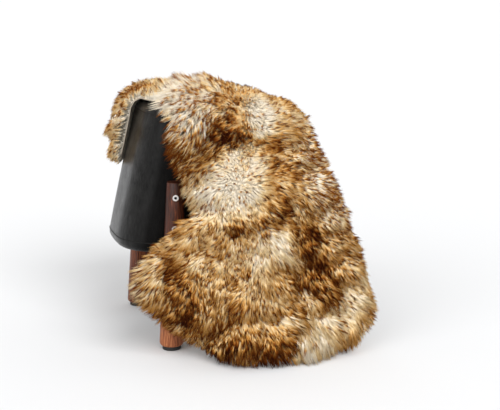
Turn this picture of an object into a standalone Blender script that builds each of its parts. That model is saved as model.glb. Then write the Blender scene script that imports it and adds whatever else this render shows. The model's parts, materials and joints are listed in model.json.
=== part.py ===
"""A sheepskin thrown over a small leather tub chair.

Metres, +Z up. The chair faces +X. The skin falls over its near side, which faces -Y, and a short
flap of it hangs over the far corner of the back. The origin is on the floor, under the middle of
the whole thing.
"""
import math

import bmesh
import bpy
import numpy as np
from mathutils import Matrix, Vector, noise

# Place of the chair's own centre, seen from the origin
CHAIR_X = -0.0094
CHAIR_Y = 0.0867

# Small distances that keep the pieces apart
GAP = 0.0003
FLOOR_CLEAR = 0.0006

# Chair shell: a leather wall that wraps round the back and both sides
RIM_Z = 0.700
SHELL_BOTTOM_Z = 0.278
CORNER_R = 0.140
CORNER_Y = 0.045
CORNER_X_AT_RIM = 0.115
FLAT_OF_BACK = 0.12
BACK_LEAN = 0.234
SIDE_FLARE = math.radians(12)
ARM_FRONT_AT_RIM = 0.120
ARM_FRONT_AT_BOTTOM = 0.235
ARM_DROP = 0.050
ARM_SLOPE_POWER = 1.6
RIM_FALL_POWER = 1.3
WALL_TOP = 0.045
WALL_BOTTOM = 0.066
WALL_LEVELS = 5
CORNER_STATIONS = 19
ARM_STATIONS = (1.25, 1.5, 1.75, 2.0)
ARM_END = ((2.035, 0.18), (2.06, 0.55))
ARM_END_SQUEEZE = 0.12

# Seat
SEAT_FRONT_X = 0.232
SEAT_BASE_Z = (0.284, 0.400)
SEAT_PAD_Z = (0.4003, 0.458)
SEAT_BASE_EDGE = 0.008
SEAT_PAD_EDGE = 0.016
SEAT_SIDE_GAP = 0.0022

# Legs: turned, thicker at the foot, with a flat where they are bolted to the wall
LEG_TOP_Z = 0.495
LEG_FOOT_R = 0.036
LEG_TOP_R = 0.0255
LEG_FOOT_ROUND = 0.010
LEG_TOP_ROUND = 0.003
LEG_SIDES = 18
LEG_FLAT_DEPTH = 0.0015
LEG_SPLAY = (0.049, 0.035)
LEG_X = {"rear": -0.200, "front": 0.150}
BOLT_Z = {"upper": 0.452, "lower": 0.362}
GLIDE_R = 0.0275
GLIDE_H = 0.011
WASHER_R = (0.0042, 0.0088)
WASHER_T = 0.0020
WASHER_SIDES = 16
WASHER_LIFT = 0.0008
BOLT_R = 0.0037
BOLT_T = 0.0036
BOLT_LIFT = 0.0005

# Skin: the underside of the hide, a row for each section across it, from the tip of the flap to
# the hem. Each section has its wool's thickness, and its left end, its middle and its right end as
# seen from the near side.
#    section        wool   left                      middle                    right
SECTIONS = (
    ("flap tip",    0.052, (-0.302, 0.060, 0.535), (-0.290, 0.124, 0.505), (-0.239, 0.178, 0.535)),
    ("flap",        0.062, (-0.281, 0.032, 0.650), (-0.259, 0.121, 0.639), (-0.205, 0.181, 0.646)),
    ("rear brow",   0.064, (-0.274, 0.022, 0.692), (-0.247, 0.112, 0.690), (-0.184, 0.184, 0.690)),
    ("rear rim",    0.060, (-0.258, 0.012, 0.709), (-0.206, 0.092, 0.7028), (-0.132, 0.156, 0.706)),
    ("rear hollow", 0.056, (-0.248, -0.060, 0.714), (-0.135, -0.005, 0.690), (-0.030, 0.095, 0.650)),
    ("hollow",      0.062, (-0.232, -0.112, 0.716), (-0.080, -0.085, 0.690), (0.070, -0.010, 0.634)),
    ("near rim",    0.074, (-0.200, -0.152, 0.716), (-0.045, -0.178, 0.716), (0.136, -0.198, 0.690)),
    ("near brow",   0.070, (-0.198, -0.222, 0.672), (-0.038, -0.252, 0.674), (0.156, -0.274, 0.646)),
    ("near top",    0.058, (-0.186, -0.232, 0.603), (-0.029, -0.280, 0.572), (0.186, -0.306, 0.572)),
    ("leg top",     0.052, (-0.160, -0.254, 0.506), (-0.013, -0.318, 0.456), (0.226, -0.328, 0.474)),
    ("notch",       0.052, (-0.142, -0.280, 0.415), (-0.002, -0.345, 0.352), (0.264, -0.335, 0.374)),
    ("lobe top",    0.052, (-0.254, -0.302, 0.342), (-0.012, -0.368, 0.270), (0.296, -0.342, 0.278)),
    ("lobe",        0.052, (-0.312, -0.315, 0.250), (-0.022, -0.395, 0.190), (0.326, -0.350, 0.186)),
    ("lobe foot",   0.052, (-0.256, -0.328, 0.156), (-0.021, -0.418, 0.112), (0.328, -0.362, 0.112)),
    ("hem",         0.046, (-0.146, -0.342, 0.066), (-0.007, -0.440, 0.040), (0.278, -0.384, 0.054)),
)
SKIN_STEPS = 44
SKIN_COLUMNS = 22

# Wool: its thickness at the edge, how far in it rounds off, and its lumps
WOOL_EDGE = 0.013
WOOL_ROUND = 0.055
LUMP_SIZE = 0.055
LUMP_HEIGHT = 0.015

# Locks round the edge, in strips. A strip's two ends stop short by a share of a grid step
STRIP_WIDTH = 0.008
STRIP_GAP = 0.00045
STRIP_END = 0.03
TWIST_SHARE = 0.75
LOCK_LENGTH_SPREAD = 0.35
LOCK_NOISE_SCALE = 60
LOCK_ROOM = 0.45
LOCK_WAIST = 0.62
LOCK_RISE = math.radians(24)
LOCK_HANG = 0.25
TOP_LOCK_EVERY = 3
TOP_LOCK_RISE = math.radians(48)
#    strip        side    from  to    locks a step  their length
STRIPS = (
    ("flap_tip",   "tip",   0.00, 1.00, 1, 0.036),
    ("flap_near",  "left",  0.00, 0.20, 2, 0.018),
    ("rear_rim",   "left",  0.20, 0.36, 2, 0.034),
    ("near_left",  "left",  0.36, 0.62, 2, 0.036),
    ("lobe_top",   "left",  0.62, 0.80, 2, 0.040),
    ("lobe_foot",  "left",  0.80, 1.00, 2, 0.040),
    ("hem_left",   "hem",   0.00, 0.50, 2, 0.044),
    ("hem_right",  "hem",   0.50, 1.00, 2, 0.040),
    ("right_foot", "right", 0.72, 1.00, 2, 0.038),
    ("right_side", "right", 0.44, 0.72, 2, 0.040),
    ("inner_edge", "right", 0.18, 0.44, 2, 0.040),
    ("flap_far",   "right", 0.00, 0.18, 2, 0.034),
)

# Colour, roughness and metallic value of each material
MATERIALS = {
    "wool": ((0.62, 0.47, 0.30), 0.95, 0.0),
    "leather": ((0.018, 0.018, 0.019), 0.45, 0.0),
    "walnut": ((0.20, 0.075, 0.040), 0.40, 0.0),
    "pad": ((0.015, 0.015, 0.015), 0.70, 0.0),
    "steel": ((0.62, 0.61, 0.59), 0.30, 1.0),
    "dark_steel": ((0.020, 0.020, 0.021), 0.40, 1.0),
}


def clear_scene():
    for thing in list(bpy.data.objects):
        bpy.data.objects.remove(thing, do_unlink=True)


def material(name):
    """The named material, made once."""
    found = bpy.data.materials.get(name)
    if found:
        return found
    colour, roughness, metallic = MATERIALS[name]
    made = bpy.data.materials.new(name)
    made.use_nodes = True
    shader = made.node_tree.nodes["Principled BSDF"]
    shader.inputs["Base Color"].default_value = (*colour, 1.0)
    shader.inputs["Roughness"].default_value = roughness
    shader.inputs["Metallic"].default_value = metallic
    return made


def add_piece(name, bm, material_name, collection, sharp_angle=35):
    """Turn a bmesh into the named object, with its faces pointing out and its shading smooth."""
    bmesh.ops.recalc_face_normals(bm, faces=bm.faces)
    mesh = bpy.data.meshes.new(name)
    bm.to_mesh(mesh)
    bm.free()
    mesh.materials.append(material(material_name))
    mesh.shade_smooth()
    mesh.set_sharp_from_angle(angle=math.radians(sharp_angle))
    piece = bpy.data.objects.new(name, mesh)
    collection.objects.link(piece)
    piece.location = (CHAIR_X, CHAIR_Y, 0.0)


def join_rings(bm, rings):
    """Faces all round between rings of equal count. The first and the last stay open."""
    rows = [[bm.verts.new(point) for point in ring] for ring in rings]
    count = len(rows[0])
    for lower, upper in zip(rows, rows[1:]):
        for k in range(count):
            bm.faces.new((lower[k], lower[(k + 1) % count], upper[(k + 1) % count], upper[k]))
    return rows


def flat_loft(rings):
    """A closed skin over level rings, with one flat face at each end."""
    bm = bmesh.new()
    rows = join_rings(bm, rings)
    bm.faces.new(rows[0][::-1])
    bm.faces.new(rows[-1])
    return bm


def loft(rings):
    """A closed skin over rings of equal count. Each end is closed by faces from side to side."""
    bm = bmesh.new()
    rows = join_rings(bm, rings)
    count = len(rows[0])
    for end in (rows[0], rows[-1]):
        for k in range(count // 2 - 1):
            bm.faces.new((end[k], end[k + 1], end[count - 2 - k], end[count - 1 - k]))
    return bm


def smooth_path(points, count, fine=16):
    """Points at equal distances along the centripetal spline through the given ones."""
    points = np.asarray(points, float)
    before = 2 * points[0] - points[1]
    after = 2 * points[-1] - points[-2]
    knots = np.vstack([before, points, after])
    dense = []
    for k in range(1, len(knots) - 2):
        p = knots[k - 1:k + 3]
        t = np.concatenate([[0.0], np.cumsum(np.linalg.norm(np.diff(p, axis=0), axis=1) ** 0.5)])
        for s in np.linspace(t[1], t[2], fine, endpoint=False):
            a = [((t[i + 1] - s) * p[i] + (s - t[i]) * p[i + 1]) / (t[i + 1] - t[i]) for i in range(3)]
            b = [((t[i + 2] - s) * a[i] + (s - t[i]) * a[i + 1]) / (t[i + 2] - t[i]) for i in range(2)]
            dense.append(((t[2] - s) * b[0] + (s - t[1]) * b[1]) / (t[2] - t[1]))
    dense.append(points[-1])
    dense = np.array(dense)
    along = np.concatenate([[0.0], np.cumsum(np.linalg.norm(np.diff(dense, axis=0), axis=1))])
    wanted = np.linspace(0, along[-1], count)
    return np.column_stack([np.interp(wanted, along, values) for values in dense.T])


# The chair

def corner_x(z):
    """How far behind the chair's centre the corners' own centres lie at a height."""
    return CORNER_X_AT_RIM + BACK_LEAN * (RIM_Z - z)


def wall_normal(side):
    """The way the side wall faces: side is -1 for the near wall and 1 for the far one."""
    return np.array([-math.sin(SIDE_FLARE), side * math.cos(SIDE_FLARE)])


def wall_start(z, side):
    """Where the rounded corner runs into the flat of the side wall, on its outer face."""
    return np.array([-corner_x(z), side * CORNER_Y]) + CORNER_R * wall_normal(side)


def wall_point(z, side, x):
    """The point of the side wall's outer face at a height and a distance along X."""
    start = wall_start(z, side)
    return np.array([x, start[1] + side * (x - start[0]) * math.tan(SIDE_FLARE)])


def arm_front(z):
    """Where the arm ends at a height: its front edge slopes forward on the way down."""
    rise = min(max((z - SHELL_BOTTOM_Z) / (RIM_Z - ARM_DROP - SHELL_BOTTOM_Z), 0.0), 1.0)
    return ARM_FRONT_AT_BOTTOM + (ARM_FRONT_AT_RIM - ARM_FRONT_AT_BOTTOM) * rise ** ARM_SLOPE_POWER


def shell_place(station, z):
    """Outer point and facing direction of the shell, at a station from -2 to 2 and a height.

    Stations run from the near arm's front (-2) over the near corner (-1 to 0), the back and the
    far corner (0 to 1) to the far arm's front (2).
    """
    side = -1 if station < 0 else 1
    far = abs(station)
    if far > 1:
        start = wall_start(z, side)
        x = start[0] + (far - 1) * (arm_front(z) - start[0])
        return wall_point(z, side, x), wall_normal(side)
    turn = max(far - FLAT_OF_BACK, 0) / (1 - FLAT_OF_BACK) * (math.pi / 2 - SIDE_FLARE)
    facing = np.array([-math.cos(turn), side * math.sin(turn)])
    centre = np.array([-corner_x(z), side * CORNER_Y * min(far / FLAT_OF_BACK, 1.0)])
    return centre + CORNER_R * facing, facing


def rim_z(station):
    """The rim's height: level round the back, falling along the arms."""
    along = max(abs(station) - 1, 0.0)
    return RIM_Z - ARM_DROP * along ** RIM_FALL_POWER


def shell_ring(station, shrink=0.0):
    """One upright section of the wall, with a round rim and a rounder bottom."""
    top = rim_z(station)
    half_top = WALL_TOP / 2
    half_bottom = WALL_BOTTOM / 2
    levels = np.linspace(0, 1, WALL_LEVELS)
    heights = SHELL_BOTTOM_Z + half_bottom + levels * (top - half_top - SHELL_BOTTOM_Z - half_bottom)
    turns = np.radians((45, 90, 135))
    ring = [(z, 0.0) for z in heights]
    ring += [(top - half_top * (1 - math.sin(a)), half_top * (1 - math.cos(a))) for a in turns]
    ring += [(z, WALL_BOTTOM + (WALL_TOP - WALL_BOTTOM) * level)
             for z, level in zip(heights[::-1], levels[::-1])]
    ring += [(SHELL_BOTTOM_Z + half_bottom * (1 - math.sin(a)), half_bottom * (1 + math.cos(a)))
             for a in turns]
    middle_z = (top + SHELL_BOTTOM_Z) / 2
    points = []
    for z, inward in ring:
        z += (middle_z - z) * shrink * ARM_END_SQUEEZE
        inward += (WALL_TOP / 2 - inward) * shrink
        outer, facing = shell_place(station, z)
        points.append((*(outer - facing * inward), z))
    # The ring starts beside the top of the rim, so that the end faces run straight across the wall
    start = WALL_LEVELS + 1
    return points[start:] + points[:start]


def make_shell(collection):
    near_arm = [-station for station in ARM_STATIONS[::-1]]
    stations = [*near_arm, *np.linspace(-1, 1, CORNER_STATIONS), *ARM_STATIONS]
    rings = [shell_ring(-station, shrink) for station, shrink in ARM_END[::-1]]
    rings += [shell_ring(station) for station in stations]
    rings += [shell_ring(station, shrink) for station, shrink in ARM_END]
    add_piece("shell", loft(rings), "leather", collection, 40)


def seat_outline(z, inset):
    """The plan of the space inside the shell at a height, from the near front round to the far."""
    outline = []
    level = (z - SHELL_BOTTOM_Z) / (RIM_Z - SHELL_BOTTOM_Z)
    thickness = WALL_BOTTOM + (WALL_TOP - WALL_BOTTOM) * level + inset
    for station in np.linspace(-1.0, 1.0, 13):
        outer, facing = shell_place(station, z)
        outline.append(outer - facing * thickness)
    front_x = SEAT_FRONT_X - inset
    for side in (1, -1):
        outer_y = wall_point(z, side, front_x)[1]
        outline.append(np.array([front_x, outer_y - side * thickness / math.cos(SIDE_FLARE)]))
    return outline


def make_seat_block(name, z_range, edge, collection):
    """A block that fills the shell's plan between two heights, with rounded edges."""
    rings = []
    low, high = z_range
    for z, inset in ((low, edge), (low + edge, 0.0), (high - edge, 0.0), (high - edge * 0.3, edge * 0.3),
                     (high, edge)):
        rings.append([(*point, z) for point in seat_outline(z, SEAT_SIDE_GAP + inset)])
    add_piece(name, flat_loft(rings), "leather", collection, 40)


def leg_axis(end, side, z):
    """The middle of a leg at a height. Its flat lies on the side wall at the bolts."""
    bolts_z = (BOLT_Z["upper"] + BOLT_Z["lower"]) / 2
    at_bolts = wall_point(bolts_z, side, LEG_X[end])
    at_bolts = at_bolts + wall_normal(side) * (leg_radius(bolts_z) - LEG_FLAT_DEPTH)
    away_x = -1 if end == "rear" else 1
    drop = bolts_z - z
    return np.array([at_bolts[0] + away_x * LEG_SPLAY[0] * drop, at_bolts[1] + side * LEG_SPLAY[1] * drop])


def leg_radius(z):
    foot = GLIDE_H + GAP
    radius = LEG_FOOT_R + (LEG_TOP_R - LEG_FOOT_R) * (z - foot) / (LEG_TOP_Z - foot)
    up = z - foot
    if up < LEG_FOOT_ROUND:
        radius -= LEG_FOOT_ROUND - math.sqrt(LEG_FOOT_ROUND ** 2 - (LEG_FOOT_ROUND - up) ** 2)
    return radius


def make_leg(end, side, label, collection):
    foot = GLIDE_H + GAP
    flat_from = SHELL_BOTTOM_Z - 0.01
    heights = (foot, foot + LEG_FOOT_ROUND * 0.3, foot + LEG_FOOT_ROUND, flat_from / 2, flat_from, 0.31, 0.35,
               0.40, 0.45, LEG_TOP_Z - LEG_TOP_ROUND, LEG_TOP_Z)
    normal = wall_normal(side)
    rings = []
    for z in heights:
        centre = leg_axis(end, side, z)
        radius = leg_radius(z) - (LEG_TOP_ROUND if z == LEG_TOP_Z else 0.0)
        ring = []
        for turn in np.linspace(0, 2 * math.pi, LEG_SIDES, endpoint=False):
            point = centre + radius * np.array([math.cos(turn), math.sin(turn)])
            depth = (point - wall_start(z, side)) @ normal - GAP
            if depth < 0 and z >= flat_from:
                point = point - depth * normal
            ring.append((*point, z))
        rings.append(ring)
    add_piece(f"leg_{label}", flat_loft(rings), "walnut", collection, 30)


def make_glide(end, side, label, collection):
    bm = bmesh.new()
    bmesh.ops.create_cone(bm, cap_ends=True, segments=16, radius1=GLIDE_R, radius2=GLIDE_R, depth=GLIDE_H)
    x, y = leg_axis(end, side, GLIDE_H)
    bmesh.ops.translate(bm, verts=bm.verts, vec=(x, y, GLIDE_H / 2))
    add_piece(f"glide_{label}", bm, "pad", collection)


def face_leg(bm, end, side, z, lift):
    """Stand a piece made along +Z on the outer side of a leg, at a height and a lift off it."""
    normal = wall_normal(side)
    centre = leg_axis(end, side, z)
    place = centre + normal * (leg_radius(z) + lift)
    turn = Vector((0, 0, 1)).rotation_difference(Vector((*normal, 0))).to_matrix().to_4x4()
    bm.transform(Matrix.Translation((*place, z)) @ turn)


def make_washer(end, side, z, label, collection):
    """A flat ring, turned from its own section."""
    inner, outer = WASHER_R
    section = ((outer, 0.0), (outer, WASHER_T * 0.7), (outer - 0.001, WASHER_T), (inner + 0.0006, WASHER_T),
               (inner, WASHER_T * 0.7), (inner, 0.0))
    bm = bmesh.new()
    turns = np.linspace(0, 2 * math.pi, WASHER_SIDES, endpoint=False)
    rings = [[(r * math.cos(turn), r * math.sin(turn), h) for r, h in section] for turn in turns]
    rows = join_rings(bm, rings)
    first, last = rows[0], rows[-1]
    for k in range(len(section)):
        after = (k + 1) % len(section)
        bm.faces.new((last[k], last[after], first[after], first[k]))
    face_leg(bm, end, side, z, WASHER_LIFT)
    add_piece(f"washer_{label}", bm, "steel", collection)


def make_bolt(end, side, z, label, collection):
    bm = bmesh.new()
    bmesh.ops.create_cone(bm, cap_ends=True, segments=12, radius1=BOLT_R, radius2=BOLT_R * 0.9, depth=BOLT_T)
    bmesh.ops.translate(bm, verts=bm.verts, vec=(0, 0, BOLT_T / 2))
    face_leg(bm, end, side, z, BOLT_LIFT)
    add_piece(f"bolt_{label}", bm, "dark_steel", collection)


# The skin

def skin_grid():
    """The hide's underside, and the wool's full thickness, row by row from flap tip to hem."""
    rows = []
    for _, wool, *points in SECTIONS:
        across = smooth_path(points, SKIN_COLUMNS + 1)
        rows.append(np.column_stack([across, np.full(len(across), wool)]))
    columns = [smooth_path(column, SKIN_STEPS + 1) for column in np.array(rows).transpose(1, 0, 2)]
    grid = np.array(columns).transpose(1, 0, 2)
    return grid[..., :3], grid[..., 3]


def grid_normals(grid):
    """The direction of the wool at each point, away from the chair."""
    along = np.gradient(grid, axis=0)
    across = np.gradient(grid, axis=1)
    normals = np.cross(along, across)
    return normals / np.linalg.norm(normals, axis=2, keepdims=True)


def edge_distance(grid):
    """How far each point lies from the nearest edge of the skin, along the hide."""
    down = np.linalg.norm(np.diff(grid, axis=0), axis=2)
    over = np.linalg.norm(np.diff(grid, axis=1), axis=2)
    top = np.vstack([np.zeros((1, down.shape[1])), np.cumsum(down, axis=0)])
    left = np.hstack([np.zeros((over.shape[0], 1)), np.cumsum(over, axis=1)])
    return np.minimum.reduce([top, top[-1:] - top, left, left[:, -1:] - left])


def wool_thickness(grid, full):
    """The wool's thickness at each point: round at the edge, and lumpy."""
    inwards = np.clip(edge_distance(grid) / WOOL_ROUND, 0, 1)
    thickness = WOOL_EDGE + (full - WOOL_EDGE) * np.sqrt(1 - (1 - inwards) ** 2)
    for i, row in enumerate(grid):
        for j, point in enumerate(row):
            lump = noise.noise(Vector(point) / LUMP_SIZE)
            thickness[i, j] += LUMP_HEIGHT * lump * 2 * inwards[i, j]
    return thickness


def make_skin(grid, full, normals, collection):
    thickness = wool_thickness(grid, full)
    front = grid + normals * thickness[..., None]
    front[..., 2] = np.maximum(front[..., 2], FLOOR_CLEAR)
    rings = [list(map(tuple, back)) + list(map(tuple, wool[::-1])) for back, wool in zip(grid, front)]
    add_piece("sheepskin", loft(rings), "wool", collection, 180)


def border(grid, normals, side):
    """Points, normals and outward directions along one side of the skin."""
    if side == "left":
        points, facing, inner = grid[:, 0], normals[:, 0], grid[:, 1]
    elif side == "right":
        points, facing, inner = grid[:, -1], normals[:, -1], grid[:, -2]
    elif side == "hem":
        points, facing, inner = grid[-1], normals[-1], grid[-2]
    else:
        points, facing, inner = grid[0], normals[0], grid[1]
    outward = np.cross(facing, np.gradient(points, axis=0))
    outward *= np.sign(np.median(np.sum(outward * (points - inner), axis=1)))
    return points, facing, outward / np.linalg.norm(outward, axis=1, keepdims=True)


def lock_room(points, outward):
    """The length a lock has at each place before it would meet those across a hollow corner."""
    along = np.gradient(points, axis=0)
    spread = np.sum(np.gradient(outward, axis=0) * along, axis=1) / np.sum(along * along, axis=1)
    return np.where(spread < 0, LOCK_ROOM / np.maximum(-spread, 1e-6), 1.0)


def twist_room(facing, outward, places):
    """How much further out the strip lies between two grid points, where the slab's side twists."""
    lower = np.clip(np.floor(places).astype(int), 0, len(facing) - 2)
    between = 4 * (places - lower) * (lower + 1 - places)
    twist = np.abs(np.sum((facing[lower + 1] - facing[lower]) * outward[lower], axis=1))
    return between * twist * WOOL_EDGE * TWIST_SHARE


def resample(values, places):
    """Values read at fractional places along the first axis."""
    index = np.arange(len(values))
    return np.column_stack([np.interp(places, index, values[:, axis]) for axis in range(3)])


def grow_lock(bm, face, direction, length):
    """Draw a face of the strip out into one tapering lock."""
    grown = bmesh.ops.extrude_discrete_faces(bm, faces=[face])["faces"][0]
    centre = grown.calc_center_median()
    sag = Vector((0, 0, -LOCK_HANG * length))
    waist = centre + direction * length * 0.5 + sag * 0.2
    for vert in grown.verts:
        vert.co = waist + (vert.co - centre) * LOCK_WAIST
    tip = centre + direction * length + sag
    tip.z = max(tip.z, FLOOR_CLEAR)
    bmesh.ops.poke(bm, faces=[grown])["verts"][0].co = tip


def make_strip(name, side, start, end, locks_a_step, lock_length, grid, normals, collection):
    """One narrow strip along the skin's edge, with its locks."""
    points, facing, outward = border(grid, normals, side)
    first, last = (round(share * (len(points) - 1)) for share in (start, end))
    places = np.linspace(first, last, (last - first) * locks_a_step + 1)
    places[0] += STRIP_END
    places[-1] -= STRIP_END
    gaps = STRIP_GAP + twist_room(facing, outward, places)
    points, facing, outward = (resample(values, places) for values in (points, facing, outward))
    bm = bmesh.new()
    rows = []
    for point, up, out, gap in zip(points, facing, outward, gaps):
        near, far = point + out * gap, point + out * (gap + STRIP_WIDTH)
        ring = (near, near + up * WOOL_EDGE, far + up * WOOL_EDGE * 0.9, far + up * 0.001)
        rows.append([bm.verts.new(corner) for corner in ring])
    outer_faces, top_faces = [], []
    for here, there in zip(rows, rows[1:]):
        quads = [bm.faces.new((here[k], here[(k + 1) % 4], there[(k + 1) % 4], there[k])) for k in range(4)]
        top_faces.append(quads[1])
        outer_faces.append(quads[2])
    bm.faces.new(rows[0][::-1])
    bm.faces.new(rows[-1])
    bmesh.ops.recalc_face_normals(bm, faces=bm.faces)
    room = lock_room(points, outward)
    for k, (outer, top) in enumerate(zip(outer_faces, top_faces)):
        up, out = Vector(facing[k]), Vector(outward[k])
        chance = noise.noise(Vector(points[k]) * LOCK_NOISE_SCALE)
        length = min(lock_length * (1 + LOCK_LENGTH_SPREAD * chance), room[k], room[k + 1])
        from_top = k % TOP_LOCK_EVERY == 1
        rise = TOP_LOCK_RISE if from_top else LOCK_RISE
        grow_lock(bm, top if from_top else outer, out * math.cos(rise) + up * math.sin(rise), length)
    add_piece(f"wool_{name}", bm, "wool", collection, 60)


def main():
    clear_scene()
    collection = bpy.data.collections.new("Sheepskin on a chair")
    bpy.context.scene.collection.children.link(collection)
    make_shell(collection)
    make_seat_block("seat_base", SEAT_BASE_Z, SEAT_BASE_EDGE, collection)
    make_seat_block("seat_pad", SEAT_PAD_Z, SEAT_PAD_EDGE, collection)
    for end in ("rear", "front"):
        for side, side_name in ((-1, "near"), (1, "far")):
            label = f"{end}_{side_name}"
            make_leg(end, side, label, collection)
            make_glide(end, side, label, collection)
            for level, z in BOLT_Z.items():
                make_washer(end, side, z, f"{label}_{level}", collection)
                make_bolt(end, side, z, f"{label}_{level}", collection)
    grid, full = skin_grid()
    normals = grid_normals(grid)
    make_skin(grid, full, normals, collection)
    for strip in STRIPS:
        make_strip(*strip, grid, normals, collection)


main()
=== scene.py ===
# %% [markdown]
# A sheepskin thrown over a small leather chair.
#
# The real thing is one sheep's hide, tanned with its long wool left on, that someone has dropped
# over the back corner and one side of a little tub chair. Hide and wool are made here; the chair is
# finished round the solids that the frame brings. Lengths are in metres, +Z is up, the chair faces
# +X and the hide falls down its near side, which faces -Y.

# %% Load the frame
import json
import math

import bmesh
import bpy
import numpy as np
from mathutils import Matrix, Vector, kdtree, noise

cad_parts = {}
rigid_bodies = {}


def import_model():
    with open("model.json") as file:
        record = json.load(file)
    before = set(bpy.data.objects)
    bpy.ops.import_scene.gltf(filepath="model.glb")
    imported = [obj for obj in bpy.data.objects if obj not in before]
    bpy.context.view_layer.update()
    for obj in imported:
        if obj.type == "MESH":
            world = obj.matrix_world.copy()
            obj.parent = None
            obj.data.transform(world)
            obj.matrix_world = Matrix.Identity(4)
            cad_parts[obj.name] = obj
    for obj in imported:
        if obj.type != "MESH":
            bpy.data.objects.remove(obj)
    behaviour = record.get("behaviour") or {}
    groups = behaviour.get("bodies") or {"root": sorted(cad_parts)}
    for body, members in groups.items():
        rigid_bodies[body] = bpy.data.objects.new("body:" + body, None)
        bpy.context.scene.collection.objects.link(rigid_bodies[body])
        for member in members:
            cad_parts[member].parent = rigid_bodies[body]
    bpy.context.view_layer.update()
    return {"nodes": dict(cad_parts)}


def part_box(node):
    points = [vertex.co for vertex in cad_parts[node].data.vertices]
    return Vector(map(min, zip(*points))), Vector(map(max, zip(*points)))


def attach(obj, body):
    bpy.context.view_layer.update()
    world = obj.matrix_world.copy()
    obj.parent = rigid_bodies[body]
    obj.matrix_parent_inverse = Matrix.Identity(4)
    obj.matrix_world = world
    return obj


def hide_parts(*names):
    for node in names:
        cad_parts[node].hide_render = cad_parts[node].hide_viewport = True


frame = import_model()
NODES = frame["nodes"]
print(len(NODES), "nodes in the frame")

# %% [markdown]
# The chair's own centre isn't the origin, because the hide hangs further out on one side. The drape
# below is written from the chair's centre, which the seat pad gives: it is as wide on one side as
# on the other, and its front edge is a known step in front of the centre.

# %% Where the chair stands
SEAT_FRONT = 0.2298
pad_low, pad_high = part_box("seat_pad")
CHAIR = np.array([pad_high.x - SEAT_FRONT, (pad_low.y + pad_high.y) / 2, 0.0])
print("chair's centre", CHAIR.round(4))

# %% [markdown]
# The camera stands about 3.5 m off, a little to the left, at chest height, and looks slightly down.
# A long lens at that distance keeps the legs almost upright in the picture. `camera_add` takes
# Euler angles: 90 degrees about X looks level, less looks down, and Z turns it.

# %% Camera
EYE = CHAIR + np.array([-0.953, -3.160, 1.10])
HEADING = math.radians(18.3)
PITCH = math.radians(12.5)
LENS = 77.8
bpy.ops.object.camera_add(location=EYE, rotation=(math.pi / 2 - PITCH, 0, -HEADING))
camera = bpy.context.object
camera.data.lens = LENS
bpy.context.scene.camera = camera
print("camera", np.linalg.norm(EYE - CHAIR).round(2), "m from the chair")

# %% [markdown]
# A white studio: a very wide pale floor, an even white sky, and two large soft lamps in front, the
# key on the right and a weaker fill on the left. Sun lamps light the far floor as brightly as the
# near one, so that the picture stays white to its top edge, and their wide angle makes the shadows
# soft. They stand low, because the side that faces the camera needs more light than the floor.

# %% Studio
FLOOR_R = 60
SKY = 0.66
SKY_COLOUR = (1.0, 0.99, 0.975, 1.0)
#       name    energy  width  height above the horizon  to the right of the camera
LAMPS = (
    ("key",     2.1,    36,    36,                        28),
    ("fill",    1.2,    50,    24,                       -38),
)
scene = bpy.context.scene
scene.view_settings.view_transform = "Standard"
world = bpy.data.worlds.new("studio")
scene.world = world
world.use_nodes = True
world.node_tree.nodes["Background"].inputs["Color"].default_value = SKY_COLOUR
world.node_tree.nodes["Background"].inputs["Strength"].default_value = SKY
for name, energy, width, height, right in LAMPS:
    turn = math.radians(right) - HEADING
    bpy.ops.object.light_add(type="SUN", rotation=(math.radians(90 - height), 0, turn))
    bpy.context.object.name = name
    bpy.context.object.data.energy = energy
    bpy.context.object.data.angle = math.radians(width)

# %% [markdown]
# Operators act on all that is selected and on the active object, as the mouse would. So each step
# first picks its piece and nothing else. A finished piece has its place in its mesh, which
# `transform_apply` does, and its faces point outwards.

# %% Selecting and naming
def deselect():
    if bpy.context.object and bpy.context.object.mode != "OBJECT":
        bpy.ops.object.mode_set(mode="OBJECT")
    bpy.ops.object.select_all(action="DESELECT")


def pick(piece):
    """Only this piece selected, and active."""
    deselect()
    piece.select_set(True)
    bpy.context.view_layer.objects.active = piece


def claim(name):
    """Name the piece that an operator has just made, and put its place into its mesh."""
    made = bpy.context.object
    made.name = made.data.name = name
    bpy.ops.object.transform_apply(location=True, rotation=True, scale=True)
    return made


def new_object(name, data):
    made = bpy.data.objects.new(name, data)
    scene.collection.objects.link(made)
    return made


def edit_all():
    """Into edit mode, with all of the active piece selected."""
    bpy.ops.object.mode_set(mode="EDIT")
    bpy.ops.mesh.select_all(action="SELECT")


def face_outwards():
    """Turn all faces outwards and leave edit mode."""
    bpy.ops.mesh.select_all(action="SELECT")
    bpy.ops.mesh.normals_make_consistent(inside=False)
    bpy.ops.object.mode_set(mode="OBJECT")


# %% The floor
deselect()
bpy.ops.mesh.primitive_circle_add(vertices=96, radius=FLOOR_R, fill_type="NGON")
floor = claim("floor")
print("floor", FLOOR_R * 2, "m across and", len(LAMPS), "lamps")

# %% [markdown]
# Materials are node trees, but arithmetic reads better as arithmetic. A `Wire` is one socket;
# adding or multiplying wires adds the Math nodes, and `node` adds any other kind. Every finish
# here starts from noise, so that has a short name too.

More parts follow.
